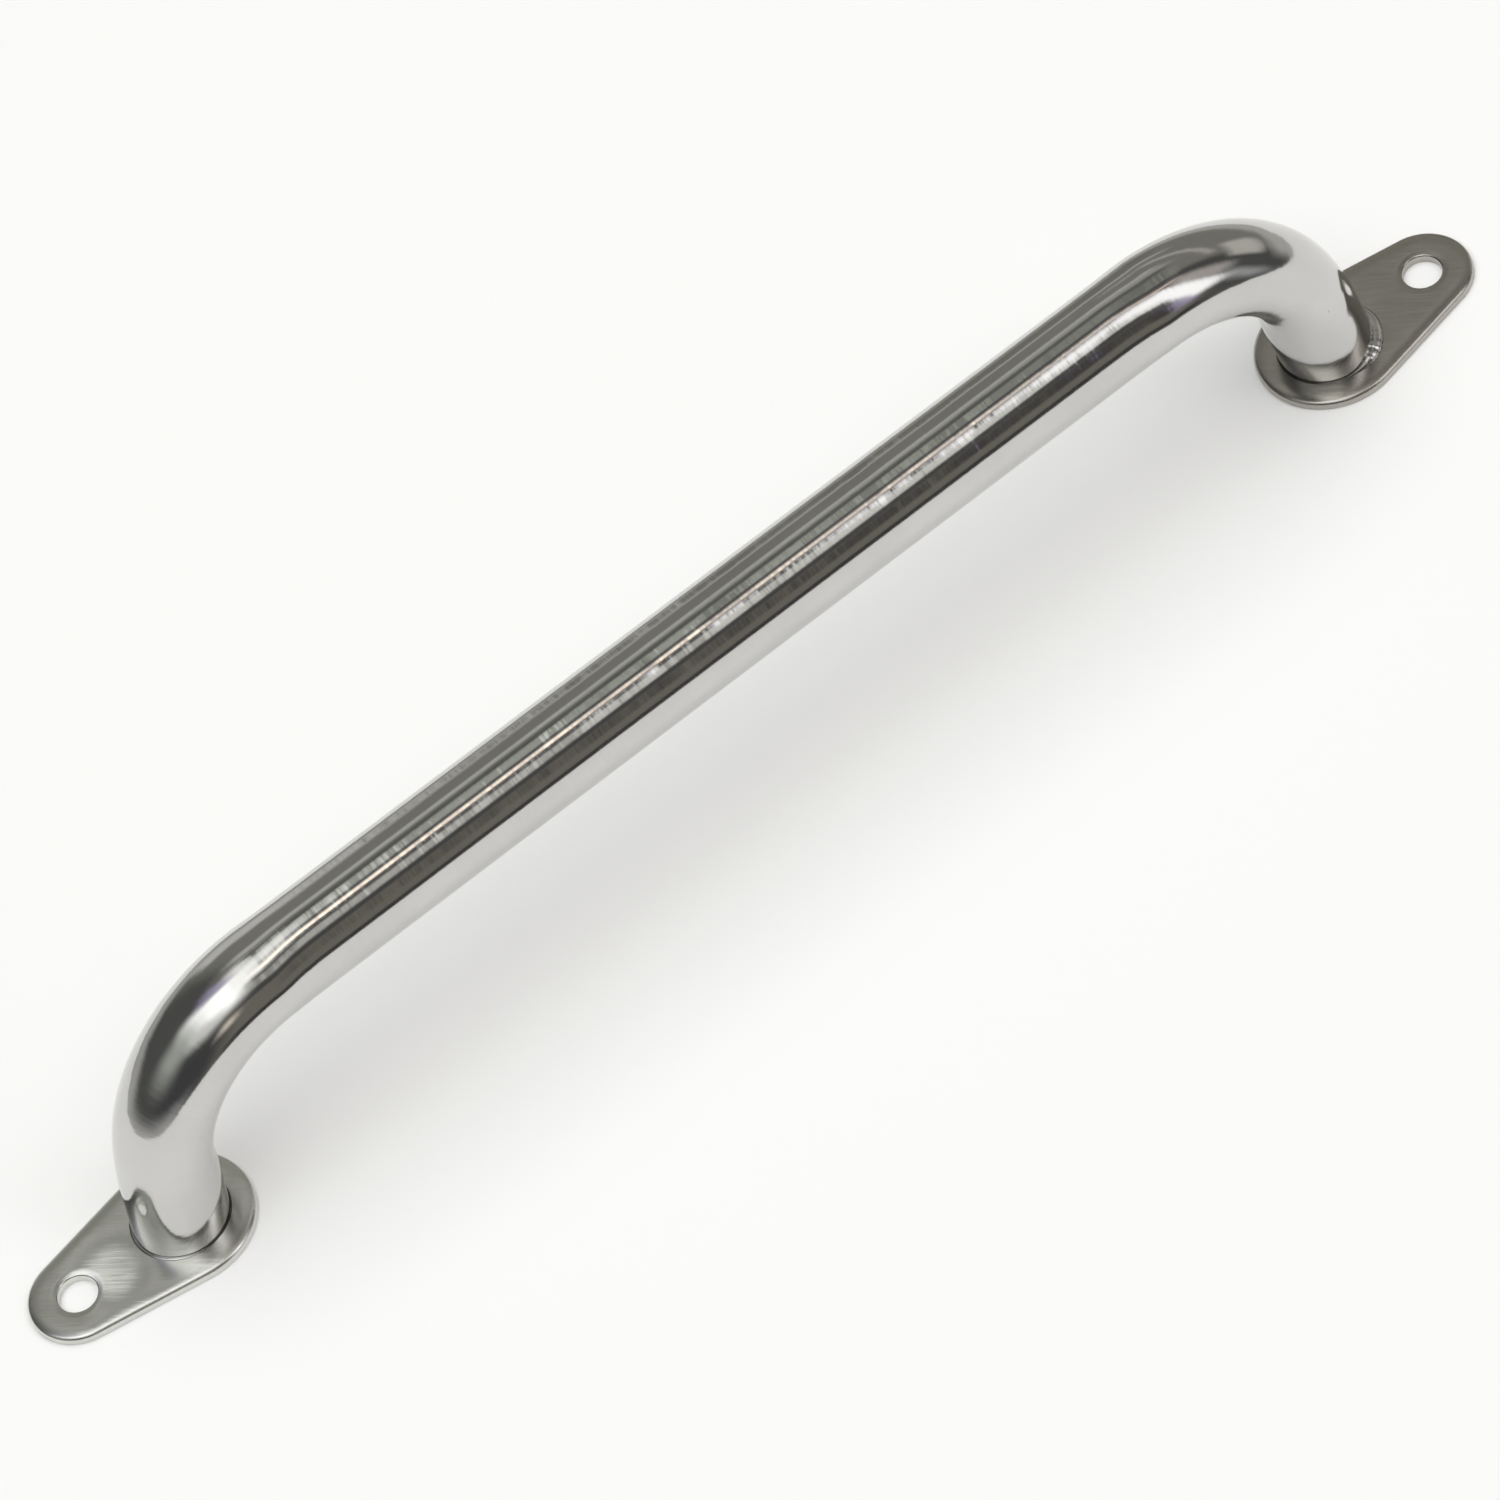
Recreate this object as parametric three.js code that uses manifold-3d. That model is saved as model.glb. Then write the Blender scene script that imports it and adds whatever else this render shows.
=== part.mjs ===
// Grab rail: one round tube, bent at both ends and welded through two teardrop flanges.
// Millimetres. +X runs along the rail and +Z points away from the surface it is bolted to.
// The origin lies on that surface, midway between the flanges.
import * as THREE from 'three';
import { mergeVertices } from 'three/addons/utils/BufferGeometryUtils.js';
import Module from 'manifold-3d';

// ---- Driving dimensions ----
const OVERALL_LENGTH = 400; // tip to tip over both flanges
const OVERALL_HEIGHT = 65; // bolting surface to the top of the rail
const TUBE_DIAMETER = 22;
const TUBE_WALL = 1.2;
const BEND_RADIUS = 38.5; // on the tube's centreline
const LEG_LEAN = THREE.MathUtils.degToRad(8); // each leg leans in by this much towards the top

const FLANGE_THICKNESS = 2.5;
const FLANGE_RIM = 6; // flange left around the tube
const TIP_RIM = 7; // flange left around the bolt hole
const BOLT_OFFSET = 27.5; // tube centre to bolt hole centre
const BOLT_HOLE_DIAMETER = 9; // clearance for an M8 bolt
const EDGE_ROUND = 0.9; // rounding of the flange's upper edges

const FRONT_WELD_LEG = 1; // height and width of the fillet on the flange's upper face
const BACK_WELD_DEPTH = 1.2; // depth and width of the groove weld, ground flush at the back
const JOINT_GAP = 0.3; // clearance kept between pieces that the welds fuse

// ---- Smoothness of the round parts ----
const TUBE_SIDES = 32;
const BEND_STEPS = 12;
const STRAIGHT_STEPS = 4;
const RING_SIDES = 48;
const OUTLINE_STEPS = 16; // in each arc of the flange's outline
const FILLET_STEPS = 3;

// ---- Sizes that follow ----
const TUBE_RADIUS = TUBE_DIAMETER / 2;
const BOLT_HOLE_RADIUS = BOLT_HOLE_DIAMETER / 2;
const SOCKET_RADIUS = TUBE_RADIUS + JOINT_GAP;
const FLANGE_RADIUS = TUBE_RADIUS + FLANGE_RIM;
const TIP_RADIUS = BOLT_HOLE_RADIUS + TIP_RIM;
const LEG_X = OVERALL_LENGTH / 2 - TIP_RADIUS - BOLT_OFFSET;
const RAIL_Z = OVERALL_HEIGHT - TUBE_RADIUS;

// Where each leg ends and its bend begins, and the centre that the bend turns about.
const BEND_START_Z = RAIL_Z - BEND_RADIUS * (1 - Math.sin(LEG_LEAN));
const BEND_START_X = LEG_X - BEND_START_Z * Math.tan(LEG_LEAN);
const BEND_CENTRE_X = BEND_START_X - BEND_RADIUS * Math.cos(LEG_LEAN);
const BEND_CENTRE_Z = RAIL_Z - BEND_RADIUS;

// Length past a face that a cutter or an untrimmed end runs on for.
const OVERRUN = TUBE_RADIUS;

const wasm = await Module();
wasm.setup();

// ---- Solids ----
function toSolid(geometry) {
  const bare = geometry.clone();
  bare.deleteAttribute('normal');
  bare.deleteAttribute('uv');
  const merged = mergeVertices(bare, 1e-4);
  const vertProperties = merged.getAttribute('position').array;
  const triVerts = new Uint32Array(merged.index.array);
  return new wasm.Manifold(new wasm.Mesh({ numProp: 3, vertProperties, triVerts }));
}

function toGeometry(solid) {
  const mesh = solid.getMesh();
  const geometry = new THREE.BufferGeometry();
  geometry.setAttribute('position', new THREE.BufferAttribute(mesh.vertProperties, 3));
  geometry.setIndex(new THREE.BufferAttribute(mesh.triVerts, 1));
  const flat = geometry.toNonIndexed();
  flat.computeVertexNormals();
  return flat;
}

// Cuts away all of a solid that lies below the bolting surface.
function trimAtSurface(solid) {
  const length = OVERALL_LENGTH + 2 * OVERRUN;
  const depth = 2 * OVERRUN;
  const block = new THREE.BoxGeometry(length, length, depth);
  block.translate(0, 0, -depth / 2);
  return solid.subtract(toSolid(block));
}

// Turns an upright round shape, centred on a leg's foot, into one that leans as the leg does.
// Level rings stay level, so a ring on the flange's face still lies flat on it.
function leanWithLeg(geometry) {
  const stretch = 1 / Math.cos(LEG_LEAN);
  const shear = -Math.tan(LEG_LEAN);
  const lean = new THREE.Matrix4().set(
    stretch, 0, shear, 0,
    0, 1, 0, 0,
    0, 0, 1, 0,
    0, 0, 0, 1,
  );
  return geometry.applyMatrix4(lean);
}

// A ring from a closed outline of [radius, height] points, about a leg's axis.
function weldRing(outline) {
  const points = [...outline, outline[0]].map(([radius, height]) => new THREE.Vector2(radius, height));
  const ring = new THREE.LatheGeometry(points, RING_SIDES);
  ring.rotateX(Math.PI / 2);
  return leanWithLeg(ring);
}

// ---- Rail tube ----
// The tube's centreline in the XZ plane, from the right foot up, along and down to the left foot.
// Each stretch has its own number of steps, so the straights stay coarse and the bends fine.
class RailCentreline extends THREE.Curve {
  constructor() {
    super();
    const footX = LEG_X + OVERRUN * Math.sin(LEG_LEAN);
    const footZ = -OVERRUN * Math.cos(LEG_LEAN);
    const line = (x1, z1, x2, z2) =>
      new THREE.LineCurve(new THREE.Vector2(x1, z1), new THREE.Vector2(x2, z2));
    const bend = (x, from, to) =>
      new THREE.EllipseCurve(x, BEND_CENTRE_Z, BEND_RADIUS, BEND_RADIUS, from, to, false);
    this.stretches = [
      { curve: line(footX, footZ, BEND_START_X, BEND_START_Z), steps: 1 },
      { curve: bend(BEND_CENTRE_X, LEG_LEAN, Math.PI / 2), steps: BEND_STEPS },
      { curve: line(BEND_CENTRE_X, RAIL_Z, -BEND_CENTRE_X, RAIL_Z), steps: STRAIGHT_STEPS },
      { curve: bend(-BEND_CENTRE_X, Math.PI / 2, Math.PI - LEG_LEAN), steps: BEND_STEPS },
      { curve: line(-BEND_START_X, BEND_START_Z, -footX, footZ), steps: 1 },
    ];
    this.steps = this.stretches.reduce((sum, { steps }) => sum + steps, 0);
  }

  getPoint(t, target = new THREE.Vector3()) {
    let step = t * this.steps;
    let index = 0;
    while (index < this.stretches.length - 1 && step > this.stretches[index].steps) {
      step -= this.stretches[index].steps;
      index += 1;
    }
    const { curve, steps } = this.stretches[index];
    const flat = curve.getPoint(step / steps);
    return target.set(flat.x, 0, flat.y);
  }

  // Sections follow the steps above, not equal lengths of tube.
  getUtoTmapping(u) {
    return u;
  }
}

function railTubeGeometry() {
  const section = new THREE.Shape();
  section.absarc(0, 0, TUBE_RADIUS, 0, 2 * Math.PI);
  const bore = new THREE.Path();
  bore.absarc(0, 0, TUBE_RADIUS - TUBE_WALL, 0, 2 * Math.PI);
  section.holes.push(bore);
  const centreline = new RailCentreline();
  const tube = new THREE.ExtrudeGeometry(section, {
    extrudePath: centreline,
    steps: centreline.steps,
    curveSegments: TUBE_SIDES / 2,
  });
  return toGeometry(trimAtSurface(toSolid(tube)));
}

// ---- Flange, in the frame of one foot: origin at the tube's centre, +X out to the bolt hole ----
function flangeOutline() {
  const tangent = Math.acos((FLANGE_RADIUS - TIP_RADIUS) / BOLT_OFFSET);
  const outline = new THREE.Shape();
  outline.absarc(0, 0, FLANGE_RADIUS, tangent, 2 * Math.PI - tangent);
  outline.absarc(BOLT_OFFSET, 0, TIP_RADIUS, -tangent, tangent);
  outline.closePath();
  const boltHole = new THREE.Path();
  boltHole.absarc(BOLT_OFFSET, 0, BOLT_HOLE_RADIUS, 0, 2 * Math.PI);
  outline.holes.push(boltHole);
  return outline;
}

// The hole that the tube passes through, opened out at the back to take the groove weld.
function socketCutter() {
  const bore = new THREE.CylinderGeometry(SOCKET_RADIUS, SOCKET_RADIUS, 2 * OVERRUN, RING_SIDES);
  bore.rotateX(Math.PI / 2);
  const mouth = SOCKET_RADIUS + BACK_WELD_DEPTH + JOINT_GAP;
  const coneHeight = mouth + OVERRUN;
  const cone = new THREE.ConeGeometry(coneHeight, coneHeight, RING_SIDES);
  cone.rotateX(Math.PI / 2);
  cone.translate(0, 0, coneHeight / 2 - OVERRUN);
  return toSolid(leanWithLeg(bore)).add(toSolid(leanWithLeg(cone)));
}

function flangeGeometry() {
  const depth = FLANGE_THICKNESS + OVERRUN;
  const plate = new THREE.ExtrudeGeometry(flangeOutline(), {
    depth,
    bevelThickness: EDGE_ROUND,
    bevelSize: EDGE_ROUND,
    bevelOffset: -EDGE_ROUND,
    bevelSegments: FILLET_STEPS,
    curveSegments: OUTLINE_STEPS,
  });
  plate.translate(0, 0, FLANGE_THICKNESS - depth - EDGE_ROUND);
  return toGeometry(trimAtSurface(toSolid(plate).subtract(socketCutter())));
}

// ---- Welds, in the frame of one foot ----
// A hollow-faced fillet that sits on the flange's upper face and runs round the tube.
function frontWeldGeometry() {
  const inner = TUBE_RADIUS + JOINT_GAP;
  const outline = [[inner, FLANGE_THICKNESS]];
  for (let step = 0; step <= FILLET_STEPS; step++) {
    const turn = (Math.PI / 2) * (step / FILLET_STEPS);
    const radius = inner + FRONT_WELD_LEG * (1 - Math.sin(turn));
    const height = FLANGE_THICKNESS + FRONT_WELD_LEG * (1 - Math.cos(turn));
    outline.push([radius, height]);
  }
  return weldRing(outline);
}

// Fills the groove between the tube's end and the flange, flush with the bolting surface.
function backWeldGeometry() {
  const inner = TUBE_RADIUS + JOINT_GAP;
  return weldRing([[inner, 0], [inner + BACK_WELD_DEPTH, 0], [inner, BACK_WELD_DEPTH]]);
}

// ---- Materials ----
const polishedTube = new THREE.MeshStandardMaterial({ color: 0xcfcecb, metalness: 1, roughness: 0.14 });
const polishedFlange = new THREE.MeshStandardMaterial({ color: 0xc4c3bf, metalness: 1, roughness: 0.24 });
const weldMetal = new THREE.MeshStandardMaterial({ color: 0xb5b3ae, metalness: 1, roughness: 0.34 });

// ---- Assembly ----
function namedMesh(name, geometry, material) {
  const mesh = new THREE.Mesh(geometry, material);
  mesh.name = name;
  return mesh;
}

// One end of the rail: its flange and the two welds that hold the tube in it.
function endOfRail(side, x, turn) {
  const end = new THREE.Group();
  end.position.x = x;
  end.rotation.z = turn;
  end.add(
    namedMesh(`${side}_flange`, flangeGeometry(), polishedFlange),
    namedMesh(`${side}_front_weld`, frontWeldGeometry(), weldMetal),
    namedMesh(`${side}_back_weld`, backWeldGeometry(), weldMetal),
  );
  return end;
}

const grabRail = new THREE.Group();
grabRail.add(
  namedMesh('rail_tube', railTubeGeometry(), polishedTube),
  endOfRail('left', -LEG_X, Math.PI),
  endOfRail('right', LEG_X, 0),
);

export default grabRail;
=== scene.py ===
"""Looks of a polished stainless-steel grab rail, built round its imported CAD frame.

The rail is one tube, bent down at both ends and welded through two teardrop flanges.
Each sub-assembly is a class that builds its own meshes and dresses them.
Lengths are in metres and angles in radians, unless a name says otherwise.
"""
from __future__ import annotations

import logging
import math
from dataclasses import dataclass, field
from enum import Enum
from typing import Iterable, Sequence

import bmesh
import bpy
from mathutils import Matrix, Vector


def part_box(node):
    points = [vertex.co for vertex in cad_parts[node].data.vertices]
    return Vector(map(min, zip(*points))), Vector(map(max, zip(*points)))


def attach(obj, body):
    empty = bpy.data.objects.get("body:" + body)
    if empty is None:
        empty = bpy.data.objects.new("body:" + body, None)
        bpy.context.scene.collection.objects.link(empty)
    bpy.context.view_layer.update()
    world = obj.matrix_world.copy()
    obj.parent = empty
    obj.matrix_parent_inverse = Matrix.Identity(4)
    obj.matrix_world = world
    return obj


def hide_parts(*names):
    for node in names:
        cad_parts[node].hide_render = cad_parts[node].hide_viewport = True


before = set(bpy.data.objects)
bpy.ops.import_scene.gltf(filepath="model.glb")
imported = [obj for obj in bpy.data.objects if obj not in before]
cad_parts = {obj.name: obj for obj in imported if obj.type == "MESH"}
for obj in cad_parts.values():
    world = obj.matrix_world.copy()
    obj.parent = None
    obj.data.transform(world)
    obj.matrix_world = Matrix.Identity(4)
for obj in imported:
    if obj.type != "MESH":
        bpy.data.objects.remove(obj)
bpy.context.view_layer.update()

LOG = logging.getLogger("grab_rail")
MM = 0.001
BODY = "root"
BRUSHED_HEADING = math.radians(-42.0)  # of the flanges and welds, from +X about +Z
NEARLY_HALF = 0.49999  # share of a curve, from its middle, past which only its ends lie

Pair = tuple[float, float]
Triple = tuple[float, float, float]
Colour = Triple


class End(Enum):
    """The two ends of the rail, by the sign of their place along X."""

    LEFT = -1
    RIGHT = 1

    @property
    def label(self) -> str:
        """Name of the end, as its CAD nodes use it."""
        return self.name.lower()

    def place(self, foot_x: float) -> Matrix:
        """Matrix that sets a foot, made with +X outwards, in its place on the rail.

        Args:
            foot_x: distance from the rail's middle to the foot's centre.

        Returns:
            The placing matrix: a half turn about Z for the left end, and a shift.
        """
        turn = Matrix.Rotation(math.pi if self is End.LEFT else 0.0, 4, "Z")
        return Matrix.Translation((self.value * foot_x, 0.0, 0.0)) @ turn


class Slot(Enum):
    """The record's material slots."""

    TUBE = "polished_tube"
    FLANGE = "polished_flange"
    WELD = "weld_metal"


# ---------------------------------------------------------------- node trees


class NodeTree:
    """A node tree that is written one node at a time, with plain Python calls."""

    def __init__(self, tree: bpy.types.NodeTree) -> None:
        """Wrap a tree.

        Args:
            tree: the tree to write into.
        """
        self.tree = tree

    def add(self, kind: str, *inputs: object, **settings: object) -> bpy.types.Node:
        """Add a node, set its properties and feed its inputs in order.

        Args:
            kind: the node's type identifier.
            *inputs: one value or source socket for each input; None leaves it alone.
            **settings: the node's own properties, by name.

        Returns:
            The new node.
        """
        node = self.tree.nodes.new(kind)
        for name, value in settings.items():
            setattr(node, name, value)
        sockets = [socket for socket in node.inputs if socket.enabled]
        for socket, value in zip(sockets, inputs):
            self.feed(socket, value)
        return node

    def feed(self, socket: bpy.types.NodeSocket, value: object) -> None:
        """Link a source socket to an input, or set the input's own value.

        Args:
            socket: the input.
            value: a socket to link, a plain value, or None to leave it alone.
        """
        if value is None:
            return
        if isinstance(value, bpy.types.NodeSocket):
            self.tree.links.new(value, socket)
        else:
            socket.default_value = value

    def math(self, operation: str, *inputs: object) -> bpy.types.NodeSocket:
        """Add a Math node and return its result."""
        return self.add("ShaderNodeMath", *inputs, operation=operation).outputs[0]

    def vector(self, operation: str, *inputs: object) -> bpy.types.NodeSocket:
        """Add a Vector Math node and return its vector result."""
        return self.add("ShaderNodeVectorMath", *inputs, operation=operation).outputs[0]

    def split(self, vector: bpy.types.NodeSocket) -> Sequence[bpy.types.NodeSocket]:
        """Return a vector's X, Y and Z."""
        return self.add("ShaderNodeSeparateXYZ", vector).outputs

    def join(self, x: object, y: object, z: object) -> bpy.types.NodeSocket:
        """Return the vector of three numbers."""
        return self.add("ShaderNodeCombineXYZ", x, y, z).outputs[0]

    def ease(self, value: object, low: object, high: object,
             out_low: float = 0.0, out_high: float = 1.0) -> bpy.types.NodeSocket:
        """Carry a number from one range to another along a smooth step.

        Args:
            value: the number.
            low: the start of its range.
            high: the end of its range.
            out_low: what the start becomes.
            out_high: what the end becomes.

        Returns:
            The carried number, held at the ends of its new range.
        """
        node = self.add("ShaderNodeMapRange", value, low, high, out_low, out_high,
                        interpolation_type="SMOOTHSTEP")
        return node.outputs[0]


class GeometryTree(NodeTree):
    """A Geometry Nodes tree with named inputs, used once and then applied."""

    def __init__(self, name: str) -> None:
        """Start an empty tree with one geometry output.

        Args:
            name: the tree's name.
        """
        super().__init__(bpy.data.node_groups.new(name, "GeometryNodeTree"))
        self.tree.interface.new_socket("Geometry", in_out="OUTPUT", socket_type="NodeSocketGeometry")
        self.source = self.tree.nodes.new("NodeGroupInput")
        self.values: dict[str, object] = {}

    def named_input(self, name: str, kind: str, value: object) -> bpy.types.NodeSocket:
        """Add a named input to the tree.

        Args:
            name: the input's name.
            kind: its socket type, such as Float or Int.
            value: what the modifier feeds it; None for the geometry that comes in.

        Returns:
            The socket that carries it inside the tree.
        """
        item = self.tree.interface.new_socket(name, in_out="INPUT", socket_type=f"NodeSocket{kind}")
        if value is not None:
            self.values[item.identifier] = value
        return self.source.outputs[name]

    def captured(self, geometry: object, value: object, data_type: str,
                 domain: str = "POINT") -> tuple[bpy.types.NodeSocket, bpy.types.NodeSocket]:
        """Fix a field on a geometry before the geometry changes.

        Args:
            geometry: the geometry to store on.
            value: the field.
            data_type: FLOAT, INT or VECTOR.
            domain: the domain to store on.

        Returns:
            The geometry with the stored field, and the stored field.
        """
        node = self.tree.nodes.new("GeometryNodeCaptureAttribute")
        node.domain = domain
        node.capture_items.new(data_type, "Value")
        self.feed(node.inputs[0], geometry)
        self.feed(node.inputs[1], value)
        return node.outputs[0], node.outputs[1]

    def stored(self, geometry: object, name: str, value: object,
               data_type: str = "FLOAT_VECTOR") -> bpy.types.NodeSocket:
        """Store a field on a geometry's points, under a name that materials read.

        Args:
            geometry: the geometry to store on.
            name: the attribute's name.
            value: the field.
            data_type: FLOAT_VECTOR or FLOAT.

        Returns:
            The geometry with the attribute.
        """
        node = self.add("GeometryNodeStoreNamedAttribute", data_type=data_type, domain="POINT")
        values = {"Geometry": geometry, "Name": name, "Value": value}
        for socket in node.inputs:
            if socket.enabled and socket.name in values:
                self.feed(socket, values[socket.name])
        return node.outputs[0]

    def finish(self, geometry: bpy.types.NodeSocket, material: bpy.types.Material) -> None:
        """End the tree in Realize Instances and Set Material.

        Args:
            geometry: what the tree has made.
            material: the finish it takes.
        """
        slot = self.named_input("Material", "Material", material)
        real = self.add("GeometryNodeRealizeInstances", geometry).outputs[0]
        dressed = self.add("GeometryNodeSetMaterial", real, None, slot).outputs[0]
        self.tree.links.new(dressed, self.tree.nodes.new("NodeGroupOutput").inputs[0])

    def applied(self, name: str, start: bpy.types.Mesh) -> bpy.types.Object:
        """Run the tree on a start mesh and keep the result as a plain mesh.

        Args:
            name: the finished object's name.
            start: the mesh that the tree reads.

        Returns:
            An object at the origin that holds the result.
        """
        carrier = bpy.data.objects.new(f"{name}_source", start)
        bpy.context.collection.objects.link(carrier)
        modifier = carrier.modifiers.new("make", "NODES")
        modifier.node_group = self.tree
        for identifier, value in self.values.items():
            modifier[identifier] = value
        graph = bpy.context.evaluated_depsgraph_get()
        mesh = bpy.data.meshes.new_from_object(carrier.evaluated_get(graph), depsgraph=graph)
        mesh.name = name
        bpy.data.objects.remove(carrier)
        return linked_object(name, mesh)


# ---------------------------------------------------------------- mesh helpers


def linked_object(name: str, mesh: bpy.types.Mesh) -> bpy.types.Object:
    """Put a mesh into the scene as an object at the origin.

    Args:
        name: the object's name.
        mesh: its mesh.

    Returns:
        The object.
    """
    piece = bpy.data.objects.new(name, mesh)
    bpy.context.collection.objects.link(piece)
    return piece


def mesh_from(name: str, points: Iterable[Vector], edges: Iterable[tuple[int, int]] = (),
              faces: Iterable[Sequence[int]] = ()) -> bpy.types.Mesh:
    """Make a mesh from plain lists.

    Args:
        name: the mesh's name.
        points: its vertices.
        edges: its loose edges.
        faces: its faces.

    Returns:
        The mesh.
    """
    mesh = bpy.data.meshes.new(name)
    mesh.from_pydata([tuple(point) for point in points], list(edges), list(faces))
    return mesh


def shade_smooth(mesh: bpy.types.Mesh) -> None:
    """Shade all of a mesh's faces smoothly."""
    mesh.polygons.foreach_set("use_smooth", [True] * len(mesh.polygons))
    mesh.update()


def sharpen(work: bmesh.types.BMesh, angle: float) -> None:
    """Shade the edges sharp at which two faces turn by more than an angle.

    Args:
        work: the mesh.
        angle: the angle.
    """
    for edge in work.edges:
        if len(edge.link_faces) == 2 and edge.calc_face_angle(0.0) > angle:
            edge.smooth = False


def declare(piece: bpy.types.Object, node: str) -> None:
    """Tell the frame what a finished piece is, and report it.

    Args:
        piece: the finished piece.
        node: the CAD node that it stands for.
    """
    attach(piece, BODY)
    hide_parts(node)
    LOG.info("%s: %d faces, stands for %s", piece.name, len(piece.data.polygons), node)


# ---------------------------------------------------------------- finishes


class Pattern(Enum):
    """The noises in the steel: each one's shift, which keeps it apart, detail and roughness."""

    LINES = (0.0, 4.0, 0.65)
    WAVES = (3.0, 3.0, 0.62)
    STAINS = (5.0, 3.0, 0.55)
    PATCHES = (7.0, 1.0, 0.5)


class Shader(NodeTree):
    """A material's tree, with its Principled shader at hand."""

    def __init__(self, name: str) -> None:
        """Start a material.

        Args:
            name: the material's name.
        """
        self.material = bpy.data.materials.new(name)
        self.material.use_nodes = True
        super().__init__(self.material.node_tree)
        self.principled = self.tree.nodes["Principled BSDF"]

    def set(self, name: str, value: object) -> None:
        """Set or feed one of the shader's inputs by name."""
        self.feed(self.principled.inputs[name], value)

    def noise(self, place: object, sizes: Triple, pattern: Pattern) -> bpy.types.NodeSocket:
        """Add one of the steel's noises.

        Args:
            place: the position, in metres.
            sizes: the size of the noise's lumps along X, Y and Z.
            pattern: which noise.

        Returns:
            Its value, from 0 to 1.
        """
        shift, detail, roughness = pattern.value
        node = self.add("ShaderNodeTexNoise", noise_dimensions="3D")
        self.feed(node.inputs["Vector"], self.stretched(place, sizes, shift))
        node.inputs["Scale"].default_value = 1.0
        node.inputs["Detail"].default_value = detail
        node.inputs["Roughness"].default_value = roughness
        return node.outputs[0]

    def attribute(self, name: str) -> bpy.types.NodeSocket:
        """Return one of the piece's own vector attributes."""
        return self.add("ShaderNodeAttribute", attribute_name=name).outputs["Vector"]

    def centred(self, value: object) -> bpy.types.NodeSocket:
        """Carry a value from 0..1 to -1..1."""
        return self.math("MULTIPLY_ADD", value, 2.0, -1.0)

    def voronoi(self, vector: object) -> bpy.types.Node:
        """Add a cell pattern of unit scale.

        Args:
            vector: the position, in cells.

        Returns:
            The pattern's node, for its outputs.
        """
        node = self.add("ShaderNodeTexVoronoi", feature="F1", distance="EUCLIDEAN")
        self.feed(node.inputs["Vector"], vector)
        node.inputs["Scale"].default_value = 1.0
        return node

    def stretched(self, vector: object, sizes: Triple, shift: float) -> bpy.types.NodeSocket:
        """Scale a position so that one unit is the given size along each axis.

        Args:
            vector: the position, in metres.
            sizes: the size of one unit along X, Y and Z.
            shift: a shift, in units, that keeps two patterns apart.

        Returns:
            The scaled position.
        """
        scale = tuple(1.0 / size for size in sizes)
        return self.vector("MULTIPLY_ADD", vector, scale, (shift, shift, shift))


@dataclass(frozen=True)
class Marks:
    """Marks that a polishing wheel or belt leaves, all running one way.

    Each tilts the surface by a small slope, across the way in which the marks run.
    """

    wave_width: float = 5.0 * MM  # of the shallow ripples where the wheel was moved on
    wave_length: float = 22.0 * MM
    wave_slope: float = 0.06
    patch_size: float = 26.0 * MM  # of the stretches with stronger or weaker ripples
    patch_shares: Pair = (0.35, 1.6)  # of the slope, in the weakest and in the strongest
    patch_range: Pair = (0.35, 0.65)  # of their noise, from the weakest to the strongest
    line_width: float = 0.70 * MM  # of the fine lines
    line_length: float = 8.0 * MM
    line_slope: float = 0.045
    line_stain: float = 0.07  # how far the lines darken the metal
    smear: float = 0.04  # how far the lines raise the roughness
    calm_from: float = 0.0  # distance from the middle at which the ripples fade, if any
    calm_over: float = 12.0 * MM  # length over which they fade
    calm_share: float = 0.55  # of their slope that is left beyond it


@dataclass(frozen=True)
class Pits:
    """Small dark pits, scattered thinly over the metal."""

    spacing: float = 7.0 * MM
    size: float = 0.15 * MM
    rim: Pair = (0.4, 1.6)  # of the size, from a pit's floor to its rim
    share: float = 0.16  # share of the cells that hold a pit
    depth: float = 0.03 * MM
    shade: float = 0.25  # share of the metal's brightness that is left in a pit
    smear: float = 0.35  # how far a pit raises the roughness
    shift: float = 11.0  # in cells, which keeps them apart from the noises


@dataclass(frozen=True)
class Dish:
    """A round patch of a flat face that the polishing left a little out of level, with a painted
    highlight over it.
    """

    centre: Pair
    radius: float
    tilt: Triple  # how far the face's normal leans at the middle
    # painted highlight: how much brighter the metal's colour is painted over the patch
    painted_highlight: float = 0.0  # how much brighter the metal is there
    full_share: float = 0.25  # of the radius, within which it is at its fullest


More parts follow.
